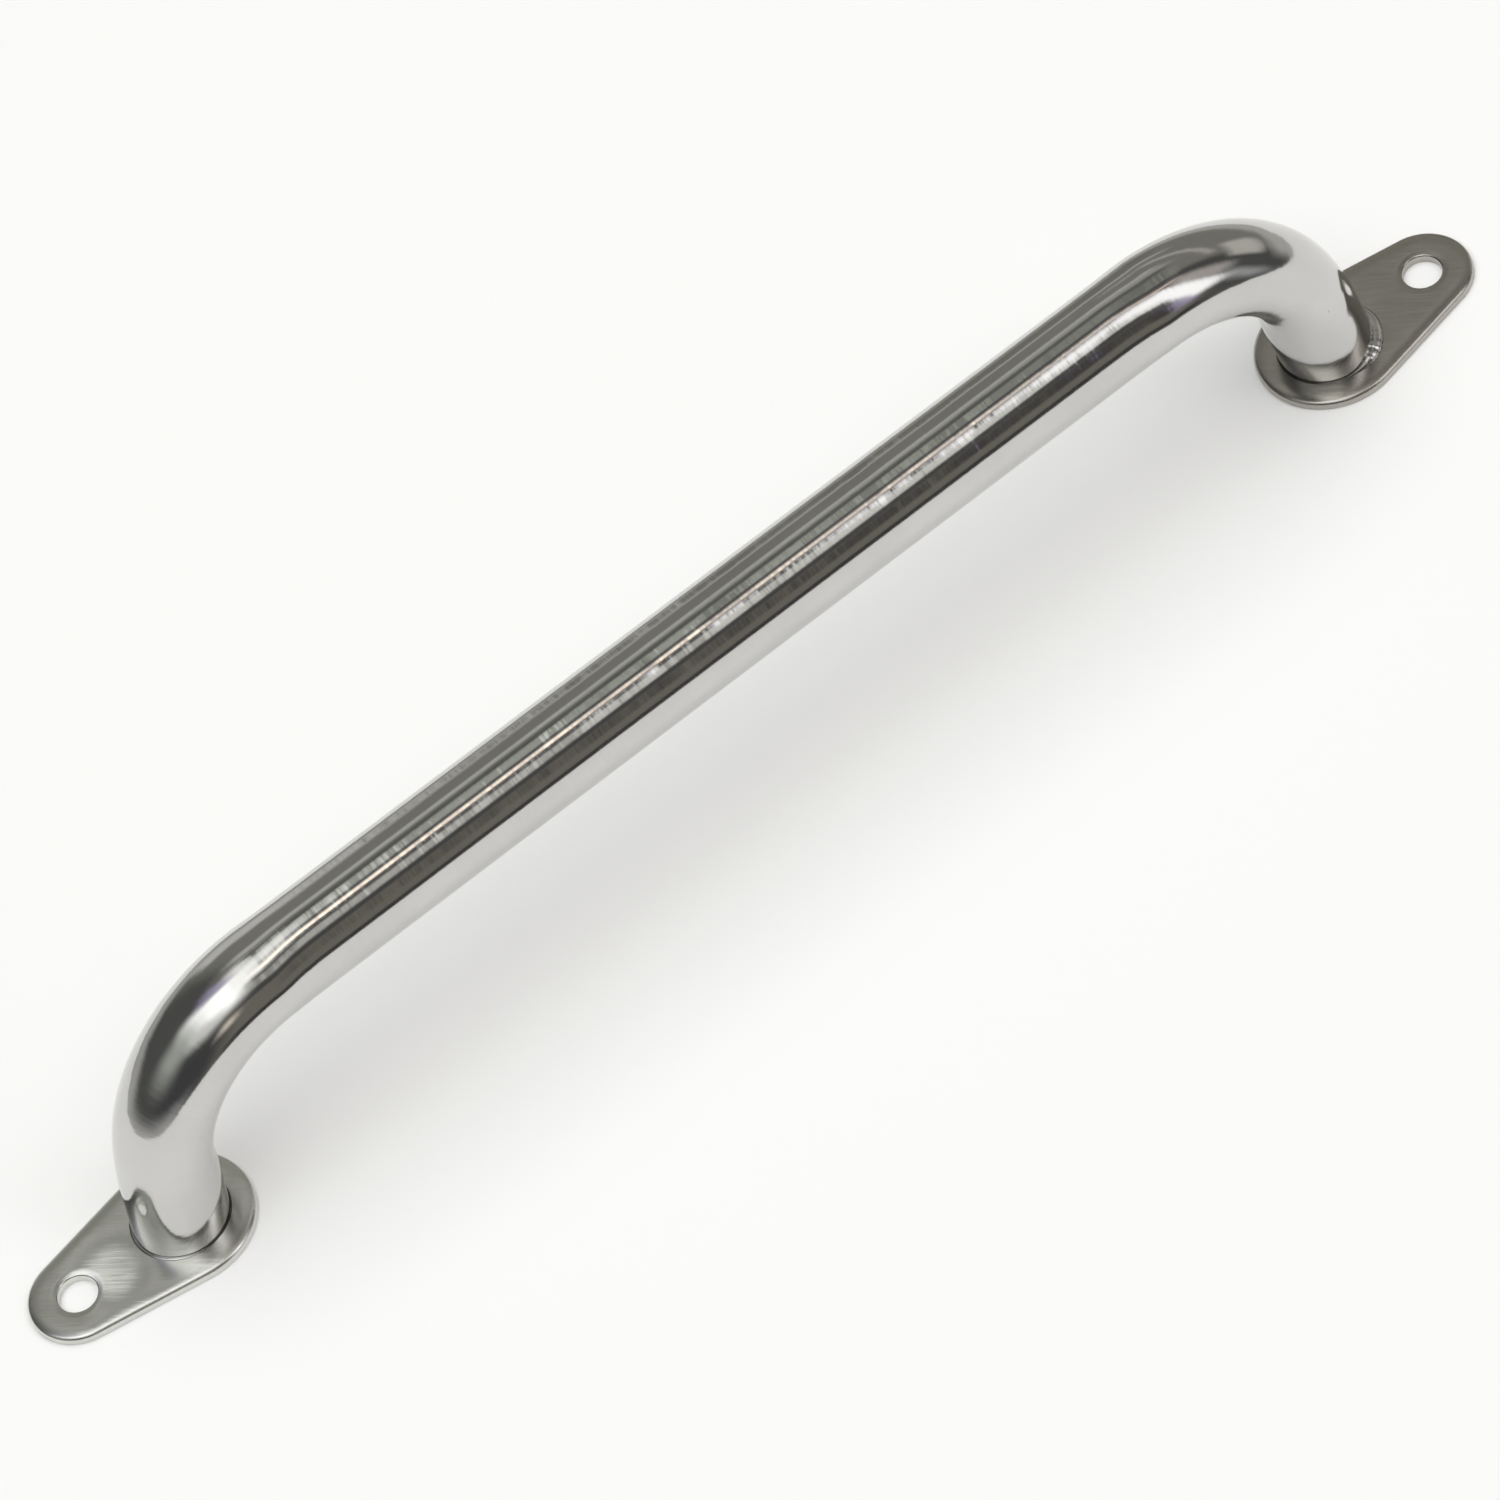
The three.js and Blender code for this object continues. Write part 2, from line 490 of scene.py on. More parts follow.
@dataclass(frozen=True)
class PolishedSteel:
    """Stainless steel with polishing marks, stains and a few pits."""

    name: str
    tint: Colour = (0.615, 0.61, 0.595)
    roughness: float = 0.085
    marks: Marks = Marks()
    pits: Pits = Pits()
    stain_sizes: Triple = (22.0 * MM, 10.0 * MM, 10.0 * MM)
    stain_range: Pair = (0.3, 0.75)  # of their noise, from the darkest to clear metal
    stain_shade: float = 0.94  # share of the metal's brightness that is left in the darkest
    stain_smear: float = 0.03  # how far they raise the roughness
    dish: Dish | None = None
    # painted shade: darker colour for the seam's crease, where the bead isn't proud
    crease_painted_shade: Colour | None = None  # of the metal where the bead isn't proud

    def material(self) -> bpy.types.Material:
        """Build the material.

        Returns:
            A metal whose normal, roughness and shade follow its marks.
        """
        shader = Shader(self.name)
        place = shader.attribute("worked")
        lines = self._lines(shader, place)
        pits = self._pits(shader, place)
        stain = shader.noise(place, self.stain_sizes, Pattern.STAINS)

        shade = shader.ease(stain, *self.stain_range, self.stain_shade, 1.0)
        line_stain, smear = self.marks.line_stain, self.marks.smear
        dark = shader.math("MULTIPLY_ADD", lines, -line_stain, 1.0 + line_stain / 2)
        shade = shader.math("MULTIPLY", shade, dark)
        shade = shader.math("MULTIPLY", shade, shader.ease(pits, 0.0, 1.0, 1.0, self.pits.shade))
        if self.dish:
            # painted highlight: the colour is made brighter over the dished patch
            brighter = shader.math("MULTIPLY_ADD", self._dished(shader), self.dish.painted_highlight, 1.0)
            shade = shader.math("MULTIPLY", shade, brighter)
        tint = shader.vector("SCALE", self._metal(shader))
        shader.feed(tint.node.inputs["Scale"], shade)
        shader.set("Base Color", tint)
        shader.set("Metallic", 1.0)
        rough = shader.math("MULTIPLY_ADD", lines, smear, self.roughness - smear / 2)
        rough = shader.math("MULTIPLY_ADD", stain, self.stain_smear, rough)
        rough = shader.math("MULTIPLY_ADD", pits, self.pits.smear, rough)
        shader.set("Roughness", rough)
        shader.set("Normal", self._normal(shader, place, lines, pits))
        return shader.material

    def _metal(self, shader: Shader) -> object:
        """Find the metal's colour before its stains and pits.

        Args:
            shader: the material's tree.

        Returns:
            A plain colour, or a socket that paints shade into the crease where the bead isn't proud.
        """
        if self.crease_painted_shade is None:
            return self.tint
        # painted shade: the crease's darker colour is mixed in where the bead isn't proud
        mix = shader.add("ShaderNodeMix", data_type="RGBA")
        proud = shader.add("ShaderNodeAttribute", attribute_name="proud").outputs["Fac"]
        values = {"Factor": proud, "A": (*self.crease_painted_shade, 1.0), "B": (*self.tint, 1.0)}
        for socket in mix.inputs:
            if socket.enabled and socket.name in values:
                shader.feed(socket, values[socket.name])
        return next(socket for socket in mix.outputs if socket.enabled)

    def _lines(self, shader: Shader, place: object) -> bpy.types.NodeSocket:
        """Return the fine lines, from 0 to 1."""
        width, length = self.marks.line_width, self.marks.line_length
        return shader.noise(place, (width, length, length), Pattern.LINES)

    def _pits(self, shader: Shader, place: object) -> bpy.types.NodeSocket:
        """Scatter the pits, one to a cell at most.

        Args:
            shader: the material's tree.
            place: the position on the worked metal.

        Returns:
            A mask, 1 at a pit's middle and 0 between the pits.
        """
        pits = self.pits
        cells = shader.voronoi(shader.stretched(place, (pits.spacing,) * 3, pits.shift))
        chosen = shader.math("LESS_THAN", shader.split(cells.outputs["Color"])[0], pits.share)
        floor, rim = (share * (pits.size / pits.spacing) for share in pits.rim)
        near = shader.ease(cells.outputs["Distance"], floor, rim, 1.0, 0.0)
        return shader.math("MULTIPLY", near, chosen)

    def _normal(self, shader: Shader, place: object, lines: object,
                pits: object) -> bpy.types.NodeSocket:
        """Tilt the normal across the marks, and bump it by the pits.

        Args:
            shader: the material's tree.
            place: the position on the worked metal.
            lines: the fine lines, from 0 to 1.
            pits: the mask of the pits.

        Returns:
            The normal.
        """
        marks = self.marks
        sizes = (marks.wave_width, marks.wave_length, marks.wave_length)
        wave = shader.noise(place, sizes, Pattern.WAVES)
        patch = shader.noise(place, (marks.patch_size,) * 3, Pattern.PATCHES)
        weakest, strongest = (share * marks.wave_slope for share in marks.patch_shares)
        strength = shader.ease(patch, *marks.patch_range, weakest, strongest)
        slope = shader.math("MULTIPLY", shader.centred(wave), strength)
        slope = shader.math("MULTIPLY_ADD", shader.centred(lines), marks.line_slope, slope)
        if marks.calm_from:
            out = shader.math("ABSOLUTE", shader.split(place)[0])
            calm_by = marks.calm_from + marks.calm_over
            calm = shader.ease(out, marks.calm_from, calm_by, 1.0, marks.calm_share)
            slope = shader.math("MULTIPLY", slope, calm)
        tilt = shader.vector("SCALE", shader.attribute("across"))
        shader.feed(tilt.node.inputs["Scale"], slope)
        if self.dish:
            lean = shader.vector("SCALE", self.dish.tilt)
            shader.feed(lean.node.inputs["Scale"], self._dished(shader))
            tilt = shader.vector("ADD", tilt, lean)
        normal = shader.add("ShaderNodeNewGeometry").outputs["Normal"]
        normal = shader.vector("NORMALIZE", shader.vector("ADD", normal, tilt))
        bump = shader.add("ShaderNodeBump")
        depth = shader.math("MULTIPLY", pits, -self.pits.depth)
        values = {"Strength": 1.0, "Distance": 1.0, "Height": depth, "Normal": normal}
        for name, value in values.items():
            shader.feed(bump.inputs[name], value)
        return bump.outputs["Normal"]

    def _dished(self, shader: Shader) -> bpy.types.NodeSocket:
        """Measure how far a place is inside the dished patch.

        Args:
            shader: the material's tree.

        Returns:
            A share, from 0 outside the patch to 1 at its middle.
        """
        place = shader.add("ShaderNodeTexCoord").outputs["Object"]
        x, y = self.dish.centre
        flat = shader.vector("MULTIPLY_ADD", place, (1.0, 1.0, 0.0), (-x, -y, 0.0))
        off = shader.add("ShaderNodeVectorMath", flat, operation="LENGTH").outputs["Value"]
        full = self.dish.full_share * self.dish.radius
        return shader.ease(off, full, self.dish.radius, 1.0, 0.0)


# ---------------------------------------------------------------- sub-assemblies


@dataclass
class RailTube:
    """The bent tube, from foot to foot."""

    finish: bpy.types.Material
    bore_finish: bpy.types.Material
    bend_radius: float = 38.5 * MM
    lean: float = math.radians(8.0)
    wall: float = 1.2 * MM
    ovality: float = 0.05  # a bend is wider across its plane and thinner in it by this share
    oval_run_in: float = 7.0 * MM  # length over which a bend takes up its oval shape
    sides: int = 96
    step: float = 1.2 * MM  # longest step along a bend
    straight_step: float = 4.8 * MM
    leg_step: float = 2.0 * MM  # longer than a slanted end is deep
    sharp_angle: float = 0.8  # past which an edge is shaded sharp
    radius: float = field(init=False)
    rail_height: float = field(init=False)
    foot_x: float = field(init=False)

    def __post_init__(self) -> None:
        """Read the tube's size from the CAD node."""
        low, high = (Vector(corner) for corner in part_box("rail_tube"))
        self.radius = (high.y - low.y) / 2
        self.rail_height = high.z - self.radius
        self.foot_x = high.x - self.radius / math.cos(self.lean)

    @property
    def bend_start(self) -> Vector:
        """Point at which a leg ends and its bend begins, at the right end."""
        z = self.rail_height - self.bend_radius * (1 - math.sin(self.lean))
        return Vector((self.foot_x - z * math.tan(self.lean), 0.0, z))

    @property
    def bend_centre(self) -> Vector:
        """Centre that the right bend turns about."""
        x = self.bend_start.x - self.bend_radius * math.cos(self.lean)
        return Vector((x, 0.0, self.rail_height - self.bend_radius))

    def centreline(self) -> tuple[list[Vector], list[float]]:
        """Walk the centreline from the left foot to the right one.

        Returns:
            The points, and how oval the tube is at each, from 0 to 1.
        """
        centre, start = self.bend_centre, self.bend_start
        turn = math.pi / 2 - self.lean
        arc = self.bend_radius * turn
        leg = start.z / math.cos(self.lean)
        half: list[tuple[float, Vector]] = []
        for part in spaced(0.0, centre.x, self.straight_step):
            half.append((part - centre.x, Vector((part, 0.0, self.rail_height))))
        for part in spaced(0.0, arc, self.step)[1:]:
            angle = math.pi / 2 - part / self.bend_radius
            spot = centre + self.bend_radius * Vector((math.cos(angle), 0.0, math.sin(angle)))
            half.append((part, spot))
        down = Vector((math.sin(self.lean), 0.0, -math.cos(self.lean)))
        for part in spaced(0.0, leg, self.leg_step)[1:]:
            half.append((arc + part, start + part * down))
        mirrored = [(run, Vector((-spot.x, 0.0, spot.z))) for run, spot in reversed(half[1:])]
        line = mirrored + half
        return [spot for _, spot in line], [self._oval(run, arc) for run, _ in line]

    def _oval(self, run: float, arc: float) -> float:
        """Find how oval the tube is at a place.

        Args:
            run: the place's length past the bend's start.
            arc: the bend's length.

        Returns:
            A share, from 0 on the straights to 1 inside the bend.
        """
        into = (run + self.oval_run_in) / self.oval_run_in
        out = (arc + self.oval_run_in / 2 - run) / self.oval_run_in
        share = max(0.0, min(1.0, into, out))
        return share * share * (3 - 2 * share)

    def build(self) -> bpy.types.Object:
        """Sweep the tube's outside and bore along the centreline, and close its ends.

        Returns:
            The finished tube.
        """
        points, ovals = self.centreline()
        path = mesh_from("rail_path", points, [(i, i + 1) for i in range(len(points) - 1)])
        path.attributes.new("oval", "FLOAT", "POINT").data.foreach_set("value", ovals)
        tree = GeometryTree("rail_sweep")
        came = tree.named_input("Geometry", "Geometry", None)
        outer = tree.named_input("Outer Radius", "Float", self.radius)
        wall = tree.named_input("Wall", "Float", self.wall)
        sides = tree.named_input("Sides", "Int", self.sides)
        oval = tree.named_input("Ovality", "Float", self.ovality)
        skin = self._sweep(tree, came, outer, sides, oval)
        bore = self._sweep(tree, came, tree.math("SUBTRACT", outer, wall), sides, oval)
        bore = tree.add("GeometryNodeFlipFaces", bore).outputs[0]
        both = tree.tree.nodes.new("GeometryNodeJoinGeometry")
        for part in (bore, skin):
            tree.tree.links.new(part, both.inputs[0])
        tree.finish(both.outputs[0], self.finish)
        tube = tree.applied("tube", path)
        self._close_ends(tube.data)
        return tube

    def _sweep(self, tree: GeometryTree, path: object, radius: object, sides: object,
               oval: object) -> bpy.types.NodeSocket:
        """Sweep one circle along the path, and land its ends on the bolting surface.

        Args:
            tree: the tree to write into.
            path: the centreline, as a mesh of edges.
            radius: the circle's radius.
            sides: how many sides it has.
            oval: the share by which a bend is out of round.

        Returns:
            The swept surface, open at both ends.
        """
        curve = tree.add("GeometryNodeMeshToCurve", path).outputs[0]
        parameter = tree.tree.nodes.new("GeometryNodeSplineParameter")
        total = tree.add("GeometryNodeSplineLength").outputs[0]
        along = tree.math("SUBTRACT", parameter.outputs["Length"], tree.math("MULTIPLY", total, 0.5))
        tangent = tree.add("GeometryNodeInputTangent").outputs[0]
        position = tree.add("GeometryNodeInputPosition").outputs[0]
        curve, along = tree.captured(curve, along, "FLOAT")
        curve, factor = tree.captured(curve, parameter.outputs["Factor"], "FLOAT")
        curve, tangent = tree.captured(curve, tangent, "VECTOR")
        curve, centre = tree.captured(curve, position, "VECTOR")
        circle = tree.add("GeometryNodeCurvePrimitiveCircle", sides)
        tree.feed(circle.inputs["Radius"], radius)
        section, place = tree.captured(circle.outputs[0], position, "VECTOR")
        surface = tree.add("GeometryNodeCurveToMesh", curve, section).outputs[0]

        # The oval: wider along Y, thinner in the plane of the bend, by the same length.
        spoke = tree.vector("SUBTRACT", position, centre)
        across = tree.vector("MULTIPLY", spoke, (0.0, 2.0, 0.0))
        change = tree.vector("SUBTRACT", across, spoke)
        amount = tree.add("GeometryNodeInputNamedAttribute", "oval", data_type="FLOAT").outputs[0]
        shift = tree.vector("SCALE", change)
        tree.feed(shift.node.inputs["Scale"], tree.math("MULTIPLY", amount, oval))
        surface = tree.add("GeometryNodeSetPosition", surface, None, None, shift).outputs[0]

        # The ends: slid along the leg until they lie on the surface, at height zero.
        _, _, height = tree.split(position)
        _, _, slope = tree.split(tangent)
        slide = tree.vector("SCALE", tangent)
        down = tree.math("MULTIPLY", height, -1.0)
        tree.feed(slide.node.inputs["Scale"], tree.math("DIVIDE", down, slope))
        middle = tree.math("ABSOLUTE", tree.math("SUBTRACT", factor, 0.5))
        is_end = tree.add("FunctionNodeCompare", middle, NEARLY_HALF, data_type="FLOAT",
                          operation="GREATER_THAN").outputs[0]
        surface = tree.add("GeometryNodeSetPosition", surface, is_end, None, slide).outputs[0]

        sx, sy, _ = tree.split(place)
        surface = tree.stored(surface, "worked", tree.join(along, sx, sy))
        return tree.stored(surface, "across", tangent)

    def _close_ends(self, mesh: bpy.types.Mesh) -> None:
        """Join the outside to the bore with a flat ring at each foot, and shade the tube.

        Args:
            mesh: the tube's mesh, open at both ends.
        """
        mesh.materials.clear()
        mesh.materials.append(self.finish)
        mesh.materials.append(self.bore_finish)
        work = bmesh.new()
        work.from_mesh(mesh)
        bore_limit = self.radius - self.wall / 2
        worked = work.verts.layers.float_vector["worked"]
        for face in work.faces:
            face.smooth = True
            spot = face.verts[0][worked]
            if math.hypot(spot.y, spot.z) < bore_limit:
                face.material_index = 1
        for end in End:
            rim = [e for e in work.edges if e.is_boundary and e.verts[0].co.x * end.value > 0]
            for ring in bmesh.ops.bridge_loops(work, edges=rim)["faces"]:
                ring.smooth = False
        bmesh.ops.recalc_face_normals(work, faces=work.faces)
        sharpen(work, self.sharp_angle)
        work.to_mesh(mesh)
        work.free()

    def dress(self, tube: bpy.types.Object) -> None:
        """Args:
            tube: the finished tube.
        """
        declare(tube, "rail_tube")


def spaced(low: float, high: float, step: float) -> list[float]:
    """Return even places from low to high, no further apart than a step."""
    count = max(1, math.ceil((high - low) / step))
    return [low + (high - low) * i / count for i in range(count + 1)]


@dataclass
class Flange:
    """A teardrop flange: a big round end for the tube and a small one for the bolt."""

    end: End
    tube: RailTube
    finish: bpy.types.Material
    bolt_offset: float = 27.5 * MM
    bolt_radius: float = 4.5 * MM
    edge_round: float = 1.15 * MM  # of the upper edges
    back_round: float = 0.25 * MM
    crown_width: float = 3.3 * MM  # polishing rolls the upper face off over this width
    crown_drop: float = 0.27 * MM
    rim_round: float = 0.5 * MM  # of the bolt hole's mouth
    rim_width: float = 1.8 * MM
    rim_drop: float = 0.16 * MM
    socket_clearance: float = 0.12 * MM
    socket_round: float = 0.35 * MM
    arc_steps: int = 40
    side_steps: int = 10
    round_steps: int = 7
    back_steps: int = 3
    sharp_angle: float = 0.7  # past which an edge is shaded sharp
    big_radius: float = field(init=False)
    tip_radius: float = field(init=False)
    thickness: float = field(init=False)

    def __post_init__(self) -> None:
        """Read the flange's size from the CAD node."""
        low, high = (Vector(corner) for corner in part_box(f"{self.end.label}_flange"))
        self.big_radius = (high.y - low.y) / 2
        self.tip_radius = max(-low.x, high.x) - self.tube.foot_x - self.bolt_offset
        self.thickness = high.z - low.z

    def outline(self, inset: float, height: float) -> list[Vector]:
        """Return the teardrop, moved in from the true edge, as a closed loop.

        Args:
            inset: how far it is moved in.
            height: its height above the bolting surface.

        Returns:
            The loop's points, anticlockwise, the same number for every inset.
        """
        tangent = math.acos((self.big_radius - self.tip_radius) / self.bolt_offset)
        big, tip = self.big_radius - inset, self.tip_radius - inset
        loop = arc_points(0.0, big, tangent, math.tau - tangent, self.arc_steps)
        loop += between(loop[-1], self.bolt_offset, tip, -tangent, self.side_steps)
        loop += arc_points(self.bolt_offset, tip, -tangent, tangent, self.arc_steps)
        loop += between(loop[-1], 0.0, big, tangent, self.side_steps)
        return [Vector((x, y, height)) for x, y in loop]

    def edge_profile(self) -> list[Pair]:
        """Follow the flange's edge from the back up and over the crowned face.

        Returns:
            Inset and height at each place.
        """
        top, back, round_ = self.thickness, self.back_round, self.edge_round
        power = 3  # of the curve in which the crown falls away
        profile = []
        for turn in quarter_turn(self.back_steps):
            profile.append((back * (1 - math.sin(turn)), back * (1 - math.cos(turn))))
        slope = math.atan(power * self.crown_drop / self.crown_width)
        rise = top - self.crown_drop - round_ * math.cos(slope)
        for i in range(self.round_steps + 1):
            turn = (math.pi / 2 - slope) * i / self.round_steps
            profile.append((round_ * (1 - math.cos(turn)), rise + round_ * math.sin(turn)))
        start = profile[-1][0]
        for i in range(1, self.round_steps + 1):
            share = i / self.round_steps
            drop = self.crown_drop * (1 - share) ** power
            profile.append((start + self.crown_width * share, top - drop))
        return profile

    def rim_profile(self) -> list[Pair]:
        """Follow the bolt hole's wall from the flat face down to the back.

        Returns:
            Radius and height at each place.
        """
        top, hole, round_ = self.thickness, self.bolt_radius, self.rim_round
        back, width = self.back_round, self.rim_width
        profile = []
        for i in range(self.round_steps):
            share = i / self.round_steps
            drop = self.rim_drop * share * share
            profile.append((hole + width - (width - round_) * share, top - drop))
        for turn in quarter_turn(self.round_steps):
            radius = hole + round_ * (1 - math.sin(turn))
            profile.append((radius, top - self.rim_drop - round_ * (1 - math.cos(turn))))
        for turn in quarter_turn(self.back_steps):
            profile.append((hole + back * (1 - math.cos(turn)), back * (1 - math.sin(turn))))
        return profile

    def build(self) -> bpy.types.Object:
        """Build the flange as one closed mesh.

        Returns:
            The finished flange.
        """
        work = bmesh.new()
        edge = skin_loops(work, [self.outline(inset, z) for inset, z in self.edge_profile()])
        ring = 2 * self.arc_steps
        hole = skin_loops(work, [circle_points(self.bolt_offset, radius, z, ring)
                                 for radius, z in self.rim_profile()])
        socket = skin_loops(work, [self._socket(out, z) for out, z in self.socket_profile()])
        for loops in ((edge[-1], hole[0], socket[0]), (edge[0], hole[-1], socket[-1])):
            rims = [e for loop in loops for e in loop_edges(work, loop)]
            bmesh.ops.triangle_fill(work, use_beauty=True, edges=rims)
        bmesh.ops.recalc_face_normals(work, faces=work.faces)
        work.transform(self.end.place(self.tube.foot_x))
        for face in work.faces:
            face.smooth = True
        sharpen(work, self.sharp_angle)
        mesh = bpy.data.meshes.new(f"{self.end.label}_plate")
        work.to_mesh(mesh)
        work.free()
        mesh.materials.append(self.finish)
        return linked_object(mesh.name, mesh)

    def socket_profile(self) -> list[Pair]:
        """Follow the wall of the tube's hole from the upper face down to the back.

        Returns:
            Clearance to the tube and height at each place.
        """
        top, round_, clear = self.thickness, self.socket_round, self.socket_clearance
        profile = []
        for turn in quarter_turn(self.round_steps):
            profile.append((clear + round_ * (1 - math.sin(turn)), top - round_ * (1 - math.cos(turn))))
        return profile + [(clear, 0.0)]

    def _socket(self, clearance: float, height: float) -> list[Vector]:
        """Lay a loop round the leaning tube, in a level plane.

        Args:
            clearance: its distance from the tube.
            height: its height above the bolting surface.

        Returns:
            The loop's points.
        """
        lean = self.tube.lean
        radius = self.tube.radius + clearance
        ring = circle_points(0.0, radius, height, 2 * self.arc_steps)
        return [Vector((p.x / math.cos(lean) - height * math.tan(lean), p.y, height)) for p in ring]

    def dress(self, plate: bpy.types.Object) -> None:
        """Args:
            plate: the finished flange.
        """
        declare(plate, f"{self.end.label}_flange")


def quarter_turn(steps: int) -> list[float]:
    """Return even angles from 0 to a right angle."""
    return [math.pi / 2 * i / steps for i in range(steps + 1)]


def arc_points(centre_x: float, radius: float, start: float, stop: float,
               steps: int) -> list[Pair]:
    """Return points on an arc about a centre on the X axis."""
    angles = [start + (stop - start) * i / steps for i in range(steps + 1)]
    return [(centre_x + radius * math.cos(a), radius * math.sin(a)) for a in angles]


def between(last: Pair, centre_x: float, radius: float, angle: float,
            steps: int) -> list[Pair]:
    """Find the points inside a straight line from a point to the start of an arc.

    Args:
        last: the point that the line starts from.
        centre_x: the arc's centre, on the X axis.
        radius: the arc's radius.
        angle: the angle at which the arc starts.
        steps: how many steps the line has.

    Returns:
        The points, without the line's ends.
    """
    x, y = centre_x + radius * math.cos(angle), radius * math.sin(angle)
    shares = [i / steps for i in range(1, steps)]
    return [(last[0] + (x - last[0]) * s, last[1] + (y - last[1]) * s) for s in shares]


def circle_points(centre_x: float, radius: float, height: float, count: int) -> list[Vector]:
    """Return a level circle about a centre on the X axis."""
    angles = [math.tau * i / count for i in range(count)]
    return [Vector((centre_x + radius * math.cos(a), radius * math.sin(a), height)) for a in angles]


def skin_loops(work: bmesh.types.BMesh, loops: list[list[Vector]]) -> list[list[bmesh.types.BMVert]]:
    """Join closed loops of the same length with rows of quads.

    Args:
        work: the mesh to build in.
        loops: the loops, in order.

    Returns:
        The loops' vertices.
    """
    rows = [[work.verts.new(point) for point in loop] for loop in loops]
    for lower, upper in zip(rows, rows[1:]):
        for i, vert in enumerate(lower):
            j = (i + 1) % len(lower)
            work.faces.new((vert, lower[j], upper[j], upper[i]))
    return rows


def loop_edges(work: bmesh.types.BMesh,
               loop: list[bmesh.types.BMVert]) -> list[bmesh.types.BMEdge]:
    """Return the edges between the neighbours in a closed loop."""
    pairs = zip(loop, loop[1:] + loop[:1])
    return [work.edges.get(pair) or work.edges.new(pair) for pair in pairs]


@dataclass
class Weld:
    """A weld bead that runs round one foot of the tube."""

    end: End
    tube: RailTube
    finish: bpy.types.Material
    node_suffix: str
    bead: float  # radius of the bead's section
    spread: float  # how far the bead's middle stands off the tube
    height: float  # of the bead's middle
    swell: float = 0.0  # how far the bead grows at its fullest, as a share of its section
    swell_angle: float = 0.0  # place of its fullest stretch, from the outward side
    swell_spread: float = math.radians(75.0)
    lump: float = 0.0  # height of the lumps on its rough stretch, as a share of the swell
    lump_angle: float = 0.0
    lump_spread: float = math.radians(30.0)
    lump_pitch: float = 1.5 * MM
    full_share: float = 0.25  # of a stretch's spread, within which it is at its fullest
    unevenness: float = 0.12  # as a share of the bead's section
    uneven_pitch: float = 3.0 * MM
    seed: float = 0.0
    ground_flush: bool = False
    around: int = 240
    section_sides: int = 16

    def build(self) -> bpy.types.Object:
        """Run the bead round the foot.

        Returns:
            The finished bead.
        """
        tree = GeometryTree(f"{self.end.label}_{self.node_suffix}_bead")
        tree.named_input("Geometry", "Geometry", None)
        radius = tree.named_input("Ring Radius", "Float", self.tube.radius + self.spread)
        bead = tree.named_input("Bead Radius", "Float", self.bead)
        height = tree.named_input("Height", "Float", self.height)
        swell = tree.named_input("Swell", "Float", self.swell)
        lump = tree.named_input("Lump", "Float", self.lump)
        uneven = tree.named_input("Unevenness", "Float", self.unevenness)
        seed = tree.named_input("Seed", "Float", self.seed)
        stretches = []
        for name, angle, spread in (("Swell", self.swell_angle, self.swell_spread),
                                    ("Lump", self.lump_angle, self.lump_spread)):
            middle = tree.named_input(f"{name} Angle", "Float", angle)
            half = tree.named_input(f"{name} Spread", "Float", spread)
            stretches.append(self._stretch(tree, middle, half))

        ring = tree.add("GeometryNodeCurvePrimitiveCircle", self.around)
        tree.feed(ring.inputs["Radius"], radius)
        position = tree.add("GeometryNodeInputPosition").outputs[0]
        coarse = self._rough(tree, position, seed, self.uneven_pitch)
        fine = self._rough(tree, position, seed, self.lump_pitch)
        swollen, lumpy = stretches
        fullness = tree.math("MULTIPLY_ADD", tree.math("MULTIPLY", fine, lumpy), lump, swollen)
        size = tree.math("MULTIPLY_ADD", coarse, uneven, 1.0)
        size = tree.math("MULTIPLY_ADD", fullness, swell, size)
        curve, proud = tree.captured(ring.outputs[0], swollen, "FLOAT")
        curve, size = tree.captured(curve, size, "FLOAT")
        section = tree.add("GeometryNodeCurvePrimitiveCircle", self.section_sides)
        tree.feed(section.inputs["Radius"], bead)
        body = tree.add("GeometryNodeCurveToMesh", curve, section.outputs[0], size).outputs[0]
        body = tree.stored(self._lean(tree, body, height), "proud", proud, "FLOAT")
        tree.finish(body, self.finish)
        empty = bpy.data.meshes.new("empty")
        weld = tree.applied(f"{self.end.label}_{self.node_suffix}_bead", empty)
        weld.data.transform(self.end.place(self.tube.foot_x))
        shade_smooth(weld.data)
        return weld

    def _stretch(self, tree: GeometryTree, middle: object, half: object) -> bpy.types.NodeSocket:
        """Measure how far a place on the ring is inside a stretch of it.

        Args:
            tree: the tree to write into.
            middle: the angle of the stretch's middle.
            half: the angle from there to either end.

        Returns:
            A share, from 0 outside the stretch to 1 at its middle.
        """
        x, y, _ = tree.split(tree.add("GeometryNodeInputPosition").outputs[0])
        angle = tree.math("ARCTAN2", y, x)
        off = tree.math("WRAP", tree.math("SUBTRACT", angle, middle), math.pi, -math.pi)
        share = tree.math("DIVIDE", tree.math("ABSOLUTE", off), half)
        return tree.ease(share, self.full_share, 1.0, 1.0, 0.0)

    def _rough(self, tree: GeometryTree, position: object, seed: object,
               size: float) -> bpy.types.NodeSocket:
        """Make the bead's roughness.

        Args:
            tree: the tree to write into.
            position: the place on the ring.
            seed: the noise's seed.
            size: the size of its bumps.

        Returns:
            A noise, from -1 to 1.
        """
        noise = tree.add("ShaderNodeTexNoise", noise_dimensions="4D")
        tree.feed(noise.inputs["Vector"], position)
        tree.feed(noise.inputs["W"], seed)
        noise.inputs["Scale"].default_value = 1.0 / size
        return tree.math("MULTIPLY_ADD", noise.outputs[0], 2.0, -1.0)

